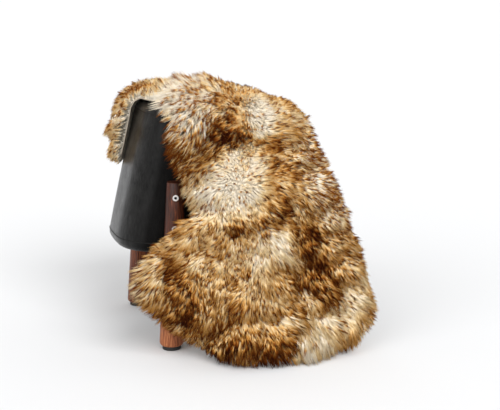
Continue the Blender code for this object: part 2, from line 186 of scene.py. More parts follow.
# %% Shader helper
class Wire:
    """One socket of a material's nodes, or a plain start to build from."""

    def __init__(self, tree, socket=None):
        self.tree = tree
        self.socket = socket

    def node(self, kind, settings, inputs, output=0):
        """Add a node: its settings first, then the values or wires of its sockets."""
        made = self.tree.nodes.new("ShaderNode" + kind)
        for name, value in settings.items():
            if name == "stops":
                self.set_stops(made.color_ramp, value)
            else:
                setattr(made, name, value)
        for name, value in inputs.items():
            if isinstance(value, Wire):
                self.tree.links.new(value.socket, made.inputs[name])
            else:
                made.inputs[name].default_value = value
        return Wire(self.tree, made.outputs[output])

    def set_stops(self, ramp, stops):
        while len(ramp.elements) < len(stops):
            ramp.elements.new(1.0)
        for element, (place, colour) in zip(ramp.elements, stops):
            element.position = place
            element.color = (*colour, 1.0)

    def maths(self, operation, *values):
        return self.node("Math", {"operation": operation}, dict(enumerate(values)))

    def __add__(self, other):
        return self.maths("ADD", self, other)

    def __sub__(self, other):
        return self.maths("SUBTRACT", self, other)

    def __rsub__(self, other):
        return self.maths("SUBTRACT", other, self)

    def __mul__(self, other):
        return self.maths("MULTIPLY", self, other)

    def __pow__(self, other):
        return self.maths("POWER", self, other)

    __radd__ = __add__
    __rmul__ = __mul__

    def clamp(self):
        return self.node("Clamp", {}, {"Value": self})

    def spread(self, low, high):
        """0 to 1 becomes low to high."""
        return self * (high - low) + low

    def ramp(self, stops):
        return self.node("ValToRGB", {"stops": stops}, {"Fac": self})

    def shades(self, dark, light):
        """Two colours that run into each other where the noise changes most."""
        return self.ramp([(0.3, dark), (0.7, light)])

    def attribute(self, name):
        return self.node("Attribute", {"attribute_name": name}, {}, output="Fac")

    def place(self, scale=(1, 1, 1)):
        """Object coordinates, stretched."""
        where = self.node("TexCoord", {}, {}, output="Object")
        return self.node("Mapping", {}, {"Vector": where, "Scale": scale})

    def noise(self, scale, detail, distortion=0.0):
        """Soft noise in object coordinates, finer where the scale is larger."""
        settings = {"Vector": self.place(scale), "Detail": detail, "Distortion": distortion}
        return self.node("TexNoise", {}, settings)

    def bump(self, height, strength, distance):
        return self.node("Bump", {}, {"Height": height, "Strength": strength, "Distance": distance})


def new_material(name, **fixed):
    """A material with a Principled shader, and the wire to build its nodes from."""
    made = bpy.data.materials.new(name)
    made.use_nodes = True
    shader = made.node_tree.nodes["Principled BSDF"]
    for socket, value in fixed.items():
        shader.inputs[socket.replace("_", " ")].default_value = value
    return made, Wire(made.node_tree), shader


def feed(wire, shader, **links):
    """Plug wires into the shader's sockets."""
    for socket, source in links.items():
        wire.tree.links.new(source.socket, shader.inputs[socket.replace("_", " ")])


# %% The floor's colour
FLOOR_COLOUR = (0.84, 0.85, 0.865, 1.0)
floor_material, _, _ = new_material("studio_floor", Base_Color=FLOOR_COLOUR, Roughness=0.9,
                                    Specular_IOR_Level=0.0)
floor.data.materials.append(floor_material)

# %% [markdown]
# The chair is a tub: one padded wall that runs round the back and both arms, with black leather
# stretched over it. The frame's solid has its plan and height but few faces, so a copy is welded,
# its triangles are joined back to four-sided faces, and Subdivision rounds it. Leather over foam
# is never quite flat, so slow noise moves the skin in and out by a millimetre or two.

# %% Welded copies of the frame's solids
WELD = 0.00002
TINY = 1e-9


def welded_copy(node, name):
    """A free copy of one of the frame's solids, with shared points and four-sided faces."""
    pick(NODES[node])
    bpy.ops.object.duplicate()
    bpy.ops.object.parent_clear(type="CLEAR_KEEP_TRANSFORM")
    piece = claim(name)
    piece.data.materials.clear()
    edit_all()
    bpy.ops.mesh.remove_doubles(threshold=WELD)
    bpy.ops.mesh.tris_convert_to_quads(face_threshold=math.radians(40), shape_threshold=math.radians(60))
    face_outwards()
    return piece


def finish_with(piece, kind, **settings):
    """Add a modifier and apply it at once."""
    pick(piece)
    made = piece.modifiers.new(kind.lower(), kind)
    for name, value in settings.items():
        setattr(made, name, value)
    bpy.ops.object.modifier_apply(modifier=made.name)


def points_of(piece):
    return np.array([vertex.co[:] for vertex in piece.data.vertices])


def put_points(mesh, places):
    mesh.vertices.foreach_set("co", places.astype(np.float32).ravel())
    mesh.update()


def swell(piece, by):
    """Push a surface out along its normals, all of it alike or each point by its own amount."""
    normals = np.array([normal.vector[:] for normal in piece.data.vertex_normals])
    put_points(piece.data, points_of(piece) + normals * np.reshape(by, (-1, 1)))


def smooth(piece, degrees=None):
    pick(piece)
    if degrees is None:
        bpy.ops.object.shade_smooth()
    else:
        bpy.ops.object.shade_smooth_by_angle(angle=math.radians(degrees))


def ripple(piece, size, height, stretch=(1.0, 1.0, 1.0)):
    """Move a surface in and out by slow noise."""
    places = [Vector([c * s for c, s in zip(vertex.co, stretch)]) / size for vertex in piece.data.vertices]
    swell(piece, np.array([noise.noise(place) * height for place in places]))


# %% The tub
TUB_PADDING = 0.0018
TUB_RIPPLE = 0.0022
TUB_RIPPLE_SIZE = 0.075
TUB_RIPPLE_STRETCH = (1.0, 1.0, 0.45)
TUB_FOOT = 0.060
TUB_FOOT_FILL = 0.005
tub = welded_copy("shell", "tub")
finish_with(tub, "SUBSURF", levels=2, render_levels=2)
low_down = np.clip(1 - (points_of(tub)[:, 2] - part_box("shell")[0].z) / TUB_FOOT, 0, 1)
swell(tub, TUB_PADDING + TUB_FOOT_FILL * low_down)
ripple(tub, TUB_RIPPLE_SIZE, TUB_RIPPLE, TUB_RIPPLE_STRETCH)
smooth(tub)
print("tub", len(tub.data.polygons), "faces")

# %% [markdown]
# The wall's covering is sewn from panels, and the seams run just below the rim and a little above
# the bottom edge. A seam on leather is a narrow ridge, because its edges are turned in. The wall's
# plan is a few short formulas: a round corner whose middle moves back with the lean of the wall,
# and a straight arm that flares outwards. The frame gives the wall's height.

# %% The plan of the wall
CORNER_R = 0.140
CORNER_Y = 0.045
CORNER_X_AT_RIM = 0.115
FLAT_OF_BACK = 0.12
BACK_LEAN = 0.234
SIDE_FLARE = math.radians(12)
shell_low, shell_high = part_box("shell")
RIM_Z = shell_high.z
BOTTOM_Z = shell_low.z


def corner_x(z):
    """How far behind the chair's centre the corners' own centres lie at a height."""
    return CORNER_X_AT_RIM + BACK_LEAN * (RIM_Z - z)


def wall_normal(side):
    return np.array([-math.sin(SIDE_FLARE), side * math.cos(SIDE_FLARE)])


def wall_start(z, side):
    """Where the round corner runs into the side wall, on its outer face."""
    return np.array([-corner_x(z), side * CORNER_Y]) + CORNER_R * wall_normal(side)


def wall_place(station, z):
    """A point of the wall's outer face, -1 to 1 round the back."""
    side = -1 if station < 0 else 1
    turn = max(abs(station) - FLAT_OF_BACK, 0) / (1 - FLAT_OF_BACK) * (math.pi / 2 - SIDE_FLARE)
    faces = np.array([-math.cos(turn), side * math.sin(turn)])
    centre = np.array([-corner_x(z), side * CORNER_Y * min(abs(station) / FLAT_OF_BACK, 1.0)])
    return centre + CORNER_R * faces


def arm_place(side, x, z):
    start = wall_start(z, side)
    return np.array([x, start[1] + side * (x - start[0]) * math.tan(SIDE_FLARE)])


print("wall from", round(BOTTOM_Z, 3), "to", round(RIM_Z, 3))


# %% Seams of the tub
SEAM_R = 0.0012
SEAM_RISE = 0.0002
SEAMS = {"seam_rim": 0.020, "seam_foot": -0.030}
ARM_SEAM_X = {"seam_rim": 0.085, "seam_foot": 0.190}
RIM_FALL = 0.045
RIM_FALL_POWER = 1.3
BACK_STEPS = 41
ARM_STEPS = 12


def tube(name, points, radius):
    """A closed round tube along a line of points, through a bevelled curve."""
    curve = bpy.data.curves.new(name, "CURVE")
    curve.dimensions = "3D"
    curve.bevel_depth = radius
    curve.bevel_resolution = 1
    curve.use_fill_caps = True
    spline = curve.splines.new("POLY")
    spline.points.add(len(points) - 1)
    for point, place in zip(spline.points, points):
        point.co = (*place, 1.0)
    made = new_object(name, curve)
    pick(made)
    bpy.ops.object.convert(target="MESH")
    smooth(made)
    return made


def on_surface(piece, point, rise):
    """The place of a piece's surface nearest to a point, and a little off it."""
    _, place, normal, _ = piece.closest_point_on_mesh(point)
    return place + normal * rise


def seam_line(name, below_rim):
    """A line on the outer face, down from the rim, or up from the bottom where it is negative."""
    z = RIM_Z - below_rim if below_rim > 0 else BOTTOM_Z - below_rim
    line = [[*wall_place(station, z), z] for station in np.linspace(-1, 1, BACK_STEPS)]
    for side in (-1, 1):
        arm = []
        for share in np.linspace(1, 0, ARM_STEPS, endpoint=False):
            x = -corner_x(z) + share * (ARM_SEAM_X[name] + corner_x(z))
            fall = RIM_FALL * share ** RIM_FALL_POWER if below_rim > 0 else 0.0
            arm.append([*arm_place(side, x, z - fall), z - fall])
        line = arm + line if side < 0 else line + arm[::-1]
    return [on_surface(tub, Vector(point) + Vector(CHAIR), SEAM_RISE) for point in line]


seams = [tube(name, seam_line(name, below), SEAM_R) for name, below in SEAMS.items()]
print("seams", [seam.name for seam in seams])

# %% [markdown]
# The seat pad is a loose cushion: foam in a leather cover, blown up a little by its own filling. A
# short cloth simulation gives that shape: the solid's copy is remeshed to an even net, pressure
# pushes it out, and no point may move further than a few millimetres. The seat below it is a firm
# block, so it only gets rounded edges.

# %% The seat pad
PAD_VOXEL = 0.011
PAD_SHRINK = 0.0035
PAD_PRESSURE = 4.0
PAD_FRAMES = 20
PAD_MOVE = 0.006
PAD_RIPPLE = 0.0016
PAD_RIPPLE_SIZE = 0.06
pad = welded_copy("seat_pad", "cushion")
finish_with(pad, "REMESH", mode="VOXEL", voxel_size=PAD_VOXEL)
swell(pad, -PAD_SHRINK)
shape = points_of(pad)
cloth = pad.modifiers.new("cloth", "CLOTH")
cloth.settings.use_pressure = True
cloth.settings.uniform_pressure_force = PAD_PRESSURE
cloth.settings.effector_weights.gravity = 0.0
for number in range(1, PAD_FRAMES + 1):
    scene.frame_set(number)
blown = pad.evaluated_get(bpy.context.evaluated_depsgraph_get())
moved = points_of(blown) - shape
far = np.linalg.norm(moved, axis=1, keepdims=True)
shape = shape + moved * np.minimum(1, PAD_MOVE / np.maximum(far, TINY))
pad.modifiers.remove(cloth)
scene.frame_set(1)
put_points(pad.data, shape)
finish_with(pad, "SMOOTH", factor=0.5, iterations=4)
ripple(pad, PAD_RIPPLE_SIZE, PAD_RIPPLE)
smooth(pad)
print("cushion", len(pad.data.polygons), "faces")

# %% The firm seat
SEAT_EDGE = 0.006
seat = welded_copy("seat_base", "seat")
finish_with(seat, "BEVEL", width=SEAT_EDGE, segments=3, limit_method="ANGLE", angle_limit=math.radians(40))
smooth(seat, degrees=35)
print("seat", len(seat.data.polygons), "faces")

# %% [markdown]
# Each leg is a stout turned peg, thicker at the foot, that splays outwards and has a flat where it
# is bolted to the wall. It starts as a round face at its foot, which is extruded upwards ring by
# ring: each step moves it sideways by the splay and fits its width to the taper and the rounded
# ends. A cut along the wall's plane then makes the flat.

# %% The legs
GAP = 0.0003
GLIDE_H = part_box("glide_rear_near")[1].z
LEG_TOP_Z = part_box("leg_rear_near")[1].z
LEG_FOOT_R = 0.036
LEG_TOP_R = 0.0255
LEG_FLAT_DEPTH = 0.0015
LEG_SPLAY = (0.049, 0.035)
LEG_X = {"rear": -0.200, "front": 0.150}
BOLT_Z = {"upper": 0.452, "lower": 0.362}
SIDES = {"near": -1, "far": 1}
FOOT_ROUND = 0.010
FOOT_TURNS = np.radians((0, 25, 45, 65, 90))
TOP_ROUND = 0.003
TOP_TURNS = np.radians((90, 45, 0))
LEG_SIDES = 48
LEG_STEPS = 8


def leg_radius(z):
    """The leg's half width: a straight taper, rounded at its foot and top."""
    foot = GLIDE_H + GAP
    radius = LEG_FOOT_R + (LEG_TOP_R - LEG_FOOT_R) * (z - foot) / (LEG_TOP_Z - foot)
    for up, round_off in ((z - foot, FOOT_ROUND), (LEG_TOP_Z - z, TOP_ROUND)):
        if up < round_off:
            radius -= round_off - math.sqrt(round_off ** 2 - (round_off - up) ** 2)
    return radius


def leg_axis(end, side, z):
    """The middle of a leg at a height."""
    bolts_z = (BOLT_Z["upper"] + BOLT_Z["lower"]) / 2
    at_bolts = arm_place(side, LEG_X[end], bolts_z)
    at_bolts = at_bolts + wall_normal(side) * (leg_radius(bolts_z) - LEG_FLAT_DEPTH)
    away = -1 if end == "rear" else 1
    drop = bolts_z - z
    return at_bolts + np.array([away * LEG_SPLAY[0], side * LEG_SPLAY[1]]) * drop


def leg_heights():
    foot = GLIDE_H + GAP
    round_foot = [foot + FOOT_ROUND * (1 - math.cos(turn)) for turn in FOOT_TURNS]
    round_top = [LEG_TOP_Z - TOP_ROUND * (1 - math.cos(turn)) for turn in TOP_TURNS]
    return [*round_foot, *np.linspace(round_foot[-1], round_top[0], LEG_STEPS)[1:-1], *round_top]


def make_leg(end, side, name):
    heights = leg_heights()
    place = Vector((*leg_axis(end, side, heights[0]), heights[0])) + Vector(CHAIR)
    deselect()
    bpy.ops.mesh.primitive_circle_add(vertices=LEG_SIDES, radius=leg_radius(heights[0]), fill_type="NGON",
                                      location=place)
    leg = claim(name)
    edit_all()
    for below, z in zip(heights, heights[1:]):
        goal = Vector((*leg_axis(end, side, z), z)) + Vector(CHAIR)
        bpy.ops.mesh.extrude_region_move(TRANSFORM_OT_translate={"value": goal - place})
        place = goal
        grow = leg_radius(z) / leg_radius(below)
        bpy.ops.transform.resize(value=(grow, grow, 1), center_override=place)
    bpy.ops.mesh.select_all(action="SELECT")
    start = wall_start(RIM_Z, side)
    slope = BACK_LEAN * math.sin(SIDE_FLARE)
    cut = Vector((*wall_normal(side), slope))
    on_wall = Vector((*(start + wall_normal(side) * GAP), RIM_Z)) + Vector(CHAIR)
    bpy.ops.mesh.bisect(plane_co=on_wall, plane_no=cut, use_fill=True, clear_inner=True)
    face_outwards()
    smooth(leg, degrees=35)
    return leg


legs = [make_leg(end, side, f"peg_{end}_{label}") for end in LEG_X for label, side in SIDES.items()]
print("legs", [(leg.name, len(leg.data.polygons)) for leg in legs])

# %% [markdown]
# Under each leg sits a black pad, and two bolts hold each leg to the wall: a bright ring lies on
# the wood, and the bolt's black head with its socket stands in it. Ring and head are modelled once,
# at the origin along +Z, and their copies are stood on the legs.

# %% Pads, rings and bolts
RING_R = (0.0040, 0.0090)
RING_T = 0.0026
HEAD_R = 0.0040
HEAD_T = 0.0022
SOCKET_R = 0.0020
SOCKET_DEPTH = 0.00132
RING_EDGE = 0.0008
HEAD_EDGE = 0.0005
PAD_EDGE = 0.0015
RING_SUNK = 0.0006
HEAD_SUNK = 0.0004
RING_SIDES = 40
HEAD_SIDES = 24
FACES_UP = 0.9
ON_TOP = 0.98


def disc(name, radius, low, high, sides):
    deselect()
    bpy.ops.mesh.primitive_cylinder_add(vertices=sides, radius=radius, depth=high - low,
                                        location=(0, 0, (low + high) / 2))
    return claim(name)


def round_edges(piece, width):
    finish_with(piece, "BEVEL", width=width, segments=2, limit_method="ANGLE", angle_limit=math.radians(50))
    smooth(piece, degrees=40)


def select_faces(piece, test):
    """In edit mode with only the faces selected whose centre and normal pass a test."""
    bpy.context.view_layer.objects.active = piece
    bpy.ops.object.mode_set(mode="EDIT")
    bpy.ops.mesh.select_mode(type="FACE")
    bpy.ops.mesh.select_all(action="DESELECT")
    mesh = bmesh.from_edit_mesh(piece.data)
    for face in mesh.faces:
        face.select_set(test(face.calc_center_median(), face.normal))
    bmesh.update_edit_mesh(piece.data)


def ring_pattern():
    """A flat disc with its middle taken through: the two caps are inset, removed and bridged."""
    ring = disc("ring", RING_R[1], 0.0, RING_T, RING_SIDES)
    select_faces(ring, lambda centre, normal: abs(normal.z) > FACES_UP)
    bpy.ops.mesh.inset(thickness=RING_R[1] - RING_R[0], use_individual=True)
    bpy.ops.mesh.delete(type="FACE")
    bpy.ops.mesh.select_mode(type="EDGE")
    bpy.ops.mesh.select_all(action="DESELECT")
    bpy.ops.mesh.select_non_manifold()
    bpy.ops.mesh.bridge_edge_loops()
    face_outwards()
    round_edges(ring, RING_EDGE)
    return ring


def bolt_pattern():
    """A short round head; its top is inset, and the middle is pushed in to make the socket."""
    bolt = disc("bolt", HEAD_R, 0.0, HEAD_T, HEAD_SIDES)
    round_edges(bolt, HEAD_EDGE)
    select_faces(bolt, lambda centre, normal: normal.z > FACES_UP and centre.z > HEAD_T * ON_TOP)
    bpy.ops.mesh.inset(thickness=HEAD_R - HEAD_EDGE - SOCKET_R)
    bpy.ops.mesh.extrude_region_move(TRANSFORM_OT_translate={"value": (0, 0, -SOCKET_DEPTH)})
    bpy.ops.object.mode_set(mode="OBJECT")
    smooth(bolt, degrees=30)
    return bolt


def stand_on_leg(pattern, name, end, side, z, lift):
    """A copy of a small piece, stood on a leg's outer side."""
    normal = wall_normal(side)
    place = leg_axis(end, side, z) + normal * (leg_radius(z) + lift)
    made = new_object(name, pattern.data.copy())
    turn = Vector((0, 0, 1)).rotation_difference(Vector((*normal, 0)))
    for vertex in made.data.vertices:
        vertex.co = turn @ vertex.co + Vector((*place, z)) + Vector(CHAIR)
    return made


ring_start, bolt_start = ring_pattern(), bolt_pattern()
rings, bolts, feet = {}, {}, {}
for end in LEG_X:
    for label, side in SIDES.items():
        node = f"glide_{end}_{label}"
        low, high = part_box(node)
        foot = disc(f"foot_{end}_{label}", (high.x - low.x) / 2, low.z, high.z, RING_SIDES)
        for vertex in foot.data.vertices:
            vertex.co += Vector(((low.x + high.x) / 2, (low.y + high.y) / 2, 0))
        round_edges(foot, PAD_EDGE)
        feet[node] = foot
        for level, z in BOLT_Z.items():
            key = f"{end}_{label}_{level}"
            rings[f"washer_{key}"] = stand_on_leg(ring_start, f"ring_{key}", end, side, z, -RING_SUNK)
            bolts[f"bolt_{key}"] = stand_on_leg(bolt_start, f"head_{key}", end, side, z, -HEAD_SUNK)
for pattern in (ring_start, bolt_start):
    bpy.data.objects.remove(pattern)
print(len(rings), "rings,", len(bolts), "bolts and", len(feet), "pads")

# %% [markdown]
# The chair's leather is charcoal black, soft, and a little shiny where light grazes it. Fine grain
# is a cell pattern in the bump and creases are stretched noise. Hands and clothes polish the back
# most, so the clear coat is stronger there and fades away round the corners.

# %% Leather
LEATHER = (0.0045, 0.0040, 0.0038)
SEAT_LEATHER = (0.0065, 0.0060, 0.0058)
SEAM_SHADES = ((0.005, 0.005, 0.005), (0.016, 0.015, 0.014))
LEATHER_DARK = 0.55
LEATHER_ROUGH = (0.25, 0.39)
SEAM_ROUGH = (0.35, 0.55)
CREASE_DEPTH = 0.75
GRAIN_DEPTH = 0.12
POLISH = (0.03, 0.65)
POLISH_REACH = 0.065
POLISH_VARIES = 1.2
POLISH_DULLS = 0.2


def polish(wire):
    """1 on the back's outer face, which leans, falling to 0 a little way in front of it."""
    where = wire.place()
    forward = wire.node("SeparateXYZ", {}, {"Vector": where}, output="X") - float(CHAIR[0])
    up = wire.node("SeparateXYZ", {}, {"Vector": where}, output="Z")
    from_back = forward + (CORNER_X_AT_RIM + CORNER_R) + (RIM_Z - up) * BACK_LEAN
    return (1 - from_back * (1 / POLISH_REACH)).clamp()


def leather(name, shade):
    made, wire, shader = new_material(name, Coat_Roughness=0.30, Specular_IOR_Level=0.04)
    cloud = wire.noise((9, 9, 6), detail=4.0)
    crease = wire.noise((34, 34, 9), detail=3.0, distortion=0.8)
    grain = wire.node("TexVoronoi", {"feature": "F1"}, {"Vector": wire.place((520, 520, 520))})
    dark = tuple(LEATHER_DARK * value for value in shade)
    height = crease * CREASE_DEPTH + grain * GRAIN_DEPTH
    uneven = cloud * POLISH_VARIES + crease * POLISH_VARIES - POLISH_DULLS
    feed(wire, shader, Base_Color=cloud.shades(dark, shade), Roughness=cloud.spread(*LEATHER_ROUGH),
         Coat_Weight=polish(wire).spread(*POLISH) * uneven,
         Normal=wire.bump(height, strength=0.50, distance=0.005))
    return made


def seam_leather():
    made, wire, shader = new_material("seam_leather", Specular_IOR_Level=0.12)
    folds = wire.noise((300, 300, 300), detail=1.0)
    feed(wire, shader, Base_Color=folds.shades(*SEAM_SHADES),
         Roughness=folds.spread(*SEAM_ROUGH))
    return made


leathers = leather("soft_leather", LEATHER), leather("seat_leather", SEAT_LEATHER), seam_leather()
print("leathers", [made.name for made in leathers])

# %% [markdown]
# The legs are a reddish brown hardwood under satin lacquer. Grain runs along the leg: noise that is
# stretched lengthwise gives the streaks, and a finer one the pores. Above the feet the colour gets
# darker towards the top, as painted shade from the chair and the hide above. The rear far leg is
# painted darker all over, as painted shade.

# %% Wood, rubber and steel
WOOD_ROW = [
    (0.18, (0.028, 0.007, 0.003)),
    (0.34, (0.090, 0.020, 0.006)),
    (0.50, (0.290, 0.084, 0.028)),
    (0.66, (0.500, 0.190, 0.070)),
]
WOOD_ROUGH = (0.32, 0.57)
STREAK_SHARE = 0.8
PORE_SHARE = 0.2
PAINTED_SHADE_FROM = 0.22
PAINTED_SHADE_RATE = 6.0
PAINTED_SHADE_DEPTH = 0.28
# How much darker the rear far leg is painted, as painted shade.
FAR_LEG_PAINTED_SHADE = 0.14
RUBBER = ((0.010, 0.010, 0.010), (0.026, 0.025, 0.024))
STEEL = ((0.62, 0.61, 0.60), (0.86, 0.85, 0.84))
STEEL_ROUGH = (0.25, 0.45)
BLACK_STEEL = ((0.012, 0.012, 0.013), (0.035, 0.035, 0.036))
BLACK_STEEL_ROUGH = (0.35, 0.55)


def walnut(name, darker=0.0):
    made, wire, shader = new_material(name, Coat_Weight=0.15, Coat_Roughness=0.25, Specular_IOR_Level=0.25)
    streak = wire.noise((62, 62, 2.6), detail=5.0, distortion=0.6)
    pores = wire.noise((420, 420, 14), detail=2.0)
    up_leg = wire.node("SeparateXYZ", {}, {"Vector": wire.place()}, output="Z")
    # Painted shade: the colour darkens up the leg, standing in for the shade under the chair and the hide.
    painted_shade = ((up_leg - PAINTED_SHADE_FROM) * PAINTED_SHADE_RATE).clamp()
    tone = streak * STREAK_SHARE + pores * PORE_SHARE - painted_shade * PAINTED_SHADE_DEPTH - darker
    feed(wire, shader, Base_Color=tone.ramp(WOOD_ROW), Roughness=pores.spread(*WOOD_ROUGH),
         Normal=wire.bump(pores, strength=0.15, distance=0.0004))
    return made


def rubber():
    made, wire, shader = new_material("rubber_pad", Roughness=0.8)
    feed(wire, shader, Base_Color=wire.noise((90, 90, 90), detail=3.0).shades(*RUBBER))
    return made


def metal(name, shades, rough):
    made, wire, shader = new_material(name, Metallic=1.0)
    brush = wire.noise((700, 700, 90), detail=2.0)
    feed(wire, shader, Base_Color=brush.shades(*shades), Roughness=brush.spread(*rough))
    return made


def dress(pieces, material):
    """Give pieces their material, and let them ride on the part's body."""
    for piece in pieces:
        piece.data.materials.clear()
        piece.data.materials.append(material)
        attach(piece, "root")


dress([tub, pad], leathers[0])
dress([seat], leathers[1])
dress(seams, leathers[2])
dress(legs[:1] + legs[2:], walnut("walnut_lacquer"))
# The rear far leg is painted darker all over, as painted shade.
dress(legs[1:2], walnut("walnut_painted_shade", FAR_LEG_PAINTED_SHADE))
dress(feet.values(), rubber())
dress(rings.values(), metal("satin_steel", STEEL, STEEL_ROUGH))
dress(bolts.values(), metal("black_steel", BLACK_STEEL, BLACK_STEEL_ROUGH))
print("dressed the chair's", 3 + len(seams) + len(legs) + len(feet) + len(rings) + len(bolts), "pieces")

# %% [markdown]
# The hide lies on a smooth surface: a row of points for each section across it, from the tip of the
# flap that hangs over the far corner of the chair's back, through the seat's hollow, over the near
# rim and down to the floor. Each row has its wool's length, its left end, its middle and its right
# end, seen from the near side. Splines through the rows and then along them make the whole drape,
# which is quicker to shape than a simulation and lands where the real one hangs.

# %% The drape
#    section        wool   left                      middle                    right
SECTIONS = (
    ("flap tip",    0.052, (-0.302, 0.060, 0.535), (-0.290, 0.124, 0.505), (-0.239, 0.178, 0.535)),
    ("flap",        0.062, (-0.281, 0.032, 0.650), (-0.259, 0.121, 0.639), (-0.205, 0.181, 0.646)),
    ("rear brow",   0.064, (-0.274, 0.022, 0.692), (-0.247, 0.112, 0.690), (-0.184, 0.184, 0.690)),
    ("rear rim",    0.060, (-0.258, 0.012, 0.709), (-0.206, 0.092, 0.7028), (-0.132, 0.156, 0.706)),
    ("rear hollow", 0.056, (-0.248, -0.060, 0.714), (-0.135, -0.005, 0.690), (-0.030, 0.095, 0.650)),
    ("hollow",      0.062, (-0.232, -0.112, 0.716), (-0.080, -0.085, 0.690), (0.070, -0.010, 0.634)),
    ("near rim",    0.074, (-0.200, -0.152, 0.716), (-0.045, -0.178, 0.716), (0.136, -0.198, 0.690)),
    ("near brow",   0.070, (-0.198, -0.222, 0.672), (-0.038, -0.252, 0.674), (0.156, -0.274, 0.646)),
    ("near top",    0.058, (-0.186, -0.232, 0.603), (-0.029, -0.280, 0.572), (0.186, -0.306, 0.572)),
    ("leg top",     0.052, (-0.160, -0.254, 0.506), (-0.013, -0.318, 0.456), (0.226, -0.328, 0.474)),
    ("notch",       0.052, (-0.142, -0.280, 0.415), (-0.002, -0.345, 0.352), (0.264, -0.335, 0.374)),
    ("lobe top",    0.052, (-0.254, -0.302, 0.342), (-0.012, -0.368, 0.270), (0.296, -0.342, 0.278)),
    ("lobe",        0.052, (-0.312, -0.315, 0.250), (-0.022, -0.395, 0.190), (0.326, -0.350, 0.186)),
    ("lobe foot",   0.052, (-0.256, -0.328, 0.156), (-0.021, -0.418, 0.112), (0.328, -0.362, 0.112)),
    ("hem",         0.046, (-0.146, -0.342, 0.066), (-0.007, -0.440, 0.040), (0.278, -0.384, 0.054)),
)
HIDE_STEPS = 112
HIDE_COLUMNS = 56
SPLINE_FINE = 16
WOOL_EDGE = 0.013
WOOL_ROUND = 0.055
FLAP_ROUND = 0.014
FLAP_ROWS = 35
LUMP_SIZE = 0.055
LUMP_HEIGHT = 0.030
FLOOR_CLEAR = 0.0008


def smooth_path(points, count):
    """Points at equal distances along the centripetal spline through the given ones."""
    points = np.asarray(points, float)
    knots = np.vstack([2 * points[0] - points[1], points, 2 * points[-1] - points[-2]])
    dense = []
    for k in range(1, len(knots) - 2):
        p = knots[k - 1:k + 3]
        t = np.concatenate([[0.0], np.cumsum(np.linalg.norm(np.diff(p, axis=0), axis=1) ** 0.5)])
        for s in np.linspace(t[1], t[2], SPLINE_FINE, endpoint=False):
            a = [((t[i + 1] - s) * p[i] + (s - t[i]) * p[i + 1]) / (t[i + 1] - t[i]) for i in range(3)]
            b = [((t[i + 2] - s) * a[i] + (s - t[i]) * a[i + 1]) / (t[i + 2] - t[i]) for i in range(2)]
            dense.append(((t[2] - s) * b[0] + (s - t[1]) * b[1]) / (t[2] - t[1]))
    dense = np.array([*dense, points[-1]])
    along = np.concatenate([[0.0], np.cumsum(np.linalg.norm(np.diff(dense, axis=0), axis=1))])
    wanted = np.linspace(0, along[-1], count)
    return np.column_stack([np.interp(wanted, along, values) for values in dense.T])


def drape():
    """The hide's underside as a grid of points, and the wool's full thickness at each."""
    rows = []
    for _, wool, *points in SECTIONS:
        across = smooth_path(points, HIDE_COLUMNS + 1)
        rows.append(np.column_stack([across, np.full(len(across), wool)]))
    columns = [smooth_path(column, HIDE_STEPS + 1) for column in np.array(rows).transpose(1, 0, 2)]
    grid = np.array(columns).transpose(1, 0, 2)
    return grid[..., :3], grid[..., 3]


def unit(vectors):
    return vectors / np.maximum(np.linalg.norm(vectors, axis=-1, keepdims=True), TINY)


grid, full = drape()
along_hide = unit(np.gradient(grid, axis=0))
across_hide = unit(np.gradient(grid, axis=1))
facing = unit(np.cross(along_hide, across_hide))
step_down = np.linalg.norm(np.diff(grid, axis=0), axis=2)
step_over = np.linalg.norm(np.diff(grid, axis=1), axis=2)
print("hide is", step_down.sum(axis=0).mean().round(3), "m long")
print("and up to", step_over.sum(axis=1).max().round(3), "m wide")

# %% [markdown]
# The wool is full length in the middle of the hide and rounds off at its edge. How far a place lies
# from each of the four edges, measured along the hide, is all that this needs. On the flap the cut
# side shows, and there the wool stays long almost to the edge. A slow noise makes the pile lumpy.

# %% How thick the wool stands
down_from_top = np.vstack([np.zeros((1, HIDE_COLUMNS + 1)), np.cumsum(step_down, axis=0)])
over_from_left = np.hstack([np.zeros((HIDE_STEPS + 1, 1)), np.cumsum(step_over, axis=1)])
to_edge = np.stack([down_from_top, down_from_top[-1:] - down_from_top,
                    over_from_left, over_from_left[:, -1:] - over_from_left])
edge_ways = np.stack([-along_hide, along_hide, -across_hide, across_hide])


def wool_thickness():
    inwards = to_edge / WOOL_ROUND
    inwards[2, :FLAP_ROWS] *= WOOL_ROUND / FLAP_ROUND
    inwards = np.clip(inwards.min(axis=0), 0, 1)
    thickness = WOOL_EDGE + (full - WOOL_EDGE) * np.sqrt(1 - (1 - inwards) ** 2)
    lumps = np.array([[noise.noise(Vector(point) / LUMP_SIZE) for point in row] for row in grid])
    return thickness + LUMP_HEIGHT * lumps * inwards


thickness = wool_thickness()
print("wool from", thickness.min().round(3), "to", thickness.max().round(3), "m deep")

# %% [markdown]
# A sheet with two faces and a rim is a grid that Solidify has closed. Its points are then put where
# the near and the far face belong. The same helper makes the thin hide and the short dense wool
# close to it, which fills the space between the long locks' roots.

# %% Closed sheets
HIDE_THICK = 0.0022
SOLIDIFY_START = 0.001


def closed_sheet(name, under, over):
    """A closed grid whose one face has the first points and whose other face has the second."""
    rows, columns = under.shape[:2]
    deselect()
    bpy.ops.mesh.primitive_grid_add(x_subdivisions=columns - 1, y_subdivisions=rows - 1, size=1)
    sheet = claim(name)
    finish_with(sheet, "SOLIDIFY", thickness=SOLIDIFY_START)
    put_points(sheet.data, np.vstack([under.reshape(-1, 3), over.reshape(-1, 3)]) + CHAIR)
    edit_all()
    face_outwards()
    smooth(sheet)
    return sheet


hide = closed_sheet("hide", grid[::2, ::2], (grid + facing * HIDE_THICK)[::2, ::2])
print(hide.name, len(hide.data.polygons), "faces")

